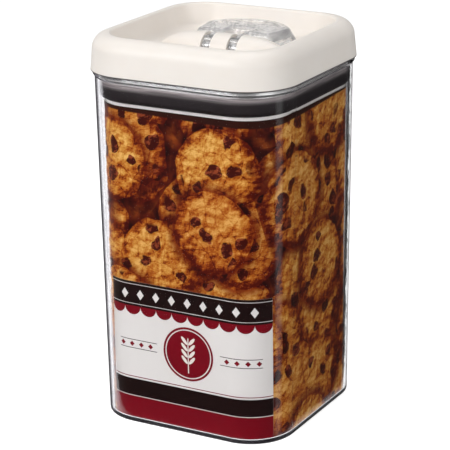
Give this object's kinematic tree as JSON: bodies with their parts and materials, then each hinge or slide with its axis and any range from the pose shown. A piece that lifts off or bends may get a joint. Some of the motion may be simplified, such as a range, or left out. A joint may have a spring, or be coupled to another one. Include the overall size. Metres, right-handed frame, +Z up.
{
  "type": "food storage container",
  "caption": "Tall clear square kitchen canister with a printed card sleeve inside and a white lift-off lid that is sealed by a flip handle, cams and a soft ring.",
  "frame": {"origin": "centre of the canister's footprint, on the surface that it stands on", "axes": "+Z is up through the lid, -Y is the front face, +Y is the side that the shut handle points to, +X is the object's right as seen from the front"},
  "size_m": [0.1232, 0.1232, 0.22],
  "materials": {
    "clear_plastic": "clear and polished",
    "printed_card": "colour print with a light varnish",
    "lid_plastic": "warm white, moulded gloss",
    "inner_plastic": "pale grey white, satin moulded",
    "seal_rubber": "dark grey, soft silicone",
    "handle_plastic": "clear and polished",
    "steel": "plain stainless"
  },
  "bodies": {
    "container": {"container_body": "clear_plastic", "printed_sleeve": "printed_card"},
    "lid": {"lid_cover": "lid_plastic", "lid_base": "inner_plastic", "lid_screws": "steel", "seal_ring": "seal_rubber"},
    "plate": {"pressure_plate": "inner_plastic", "plate_yoke": "inner_plastic", "stem_oring": "seal_rubber", "stem_screw": "steel", "screw_cap": "inner_plastic", "pivot_pin": "steel", "pin_clip": "steel"},
    "handle": {"flip_handle": "handle_plastic"}
  },
  "joints": [
    {"name": "lid_lift", "type": "slide", "parent": "container", "child": "lid", "axis": [0, 0, 1], "range_m": [0, 0.06]},
    {"name": "plate_drop", "type": "slide", "parent": "lid", "child": "plate", "axis": [0, 0, -1], "range_m": [0, 0.0016], "deforming": ["seal_ring"]},
    {"name": "handle_flip", "type": "hinge", "parent": "plate", "child": "handle", "pos_m": [0, -0.002, 0.2078], "axis": [1, 0, 0], "range_deg": [0, 90]}
  ],
  "couplings": [
    {"joint": "plate_drop", "follows": "handle_flip", "m_per_rad": 0.0010185}
  ]
}
